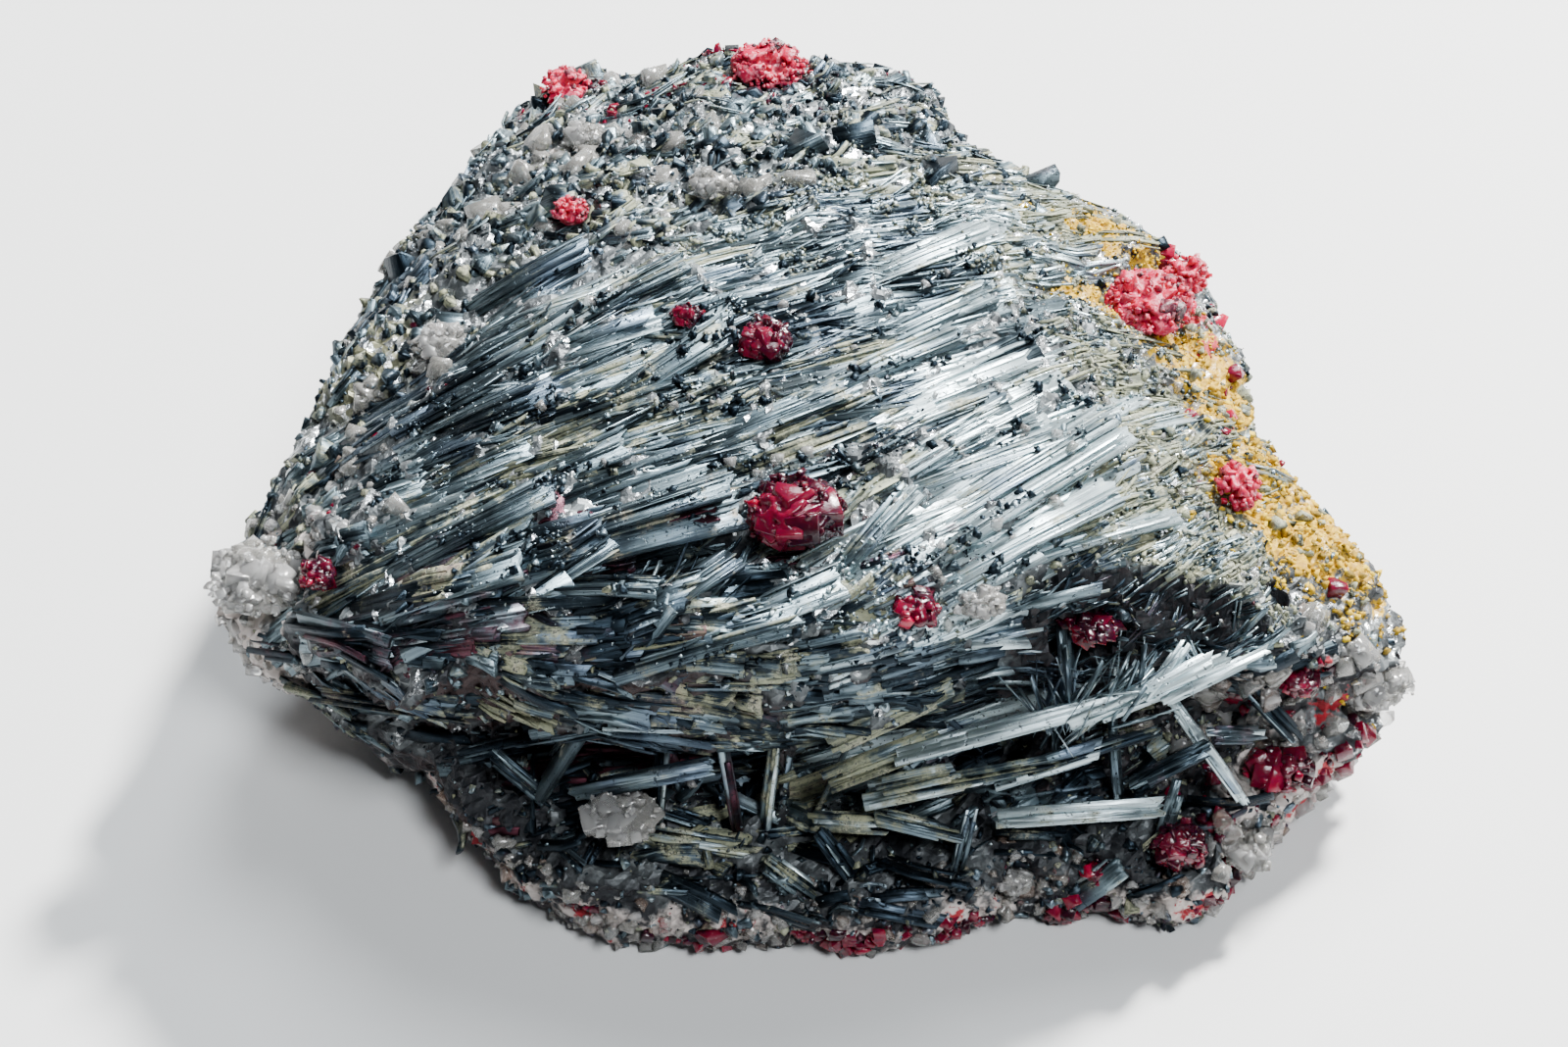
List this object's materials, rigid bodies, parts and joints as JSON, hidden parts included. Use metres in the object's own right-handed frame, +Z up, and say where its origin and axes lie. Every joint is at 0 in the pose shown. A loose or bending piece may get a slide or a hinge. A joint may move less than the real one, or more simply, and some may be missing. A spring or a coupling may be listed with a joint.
{
  "type": "cinnabar on stibnite mineral specimen",
  "caption": "Wedge-shaped hand specimen: sprays of metallic grey stibnite blades over a broken rock base, dotted with red cinnabar crystals and white quartz.",
  "frame": {"origin": "middle of the whole object's box in plan, on the plane its broken base rests on", "axes": "+X along the longest side, towards the ochre end; -Y towards the broken front with the open ledge; +Z up out of the crystal face"},
  "size_m": [0.0726, 0.0606, 0.0274],
  "materials": {
    "stibnite": "metallic lustre blades, with dull ochre and grey-green patches on the rock",
    "cinnabar": "adamantine crimson crystals",
    "quartz": "milky, half clear grains"
  },
  "bodies": {
    "root": {"stibnite_mass": "stibnite", "cinnabar_centre": "cinnabar", "cinnabar_crest": "cinnabar", "cinnabar_crest_west": "cinnabar", "cinnabar_ledge_pair": "cinnabar", "cinnabar_dark_plate": "cinnabar", "cinnabar_east_large": "cinnabar", "cinnabar_east_rim": "cinnabar", "cinnabar_east_low": "cinnabar", "cinnabar_northwest": "cinnabar", "cinnabar_north_corner": "cinnabar", "cinnabar_north_peak": "cinnabar", "cinnabar_west_tip": "cinnabar", "cinnabar_front_block": "cinnabar", "cinnabar_front_small": "cinnabar", "cinnabar_front_streak": "cinnabar", "cinnabar_east_ledge": "cinnabar", "cinnabar_front_foot": "cinnabar", "quartz_west_tip": "quartz", "quartz_mid_patch": "quartz", "quartz_north_grain": "quartz", "quartz_north_round": "quartz", "quartz_northwest": "quartz", "quartz_east_tip": "quartz", "quartz_front_west": "quartz", "quartz_front_east": "quartz", "quartz_front_foot": "quartz"}
  },
  "joints": []
}
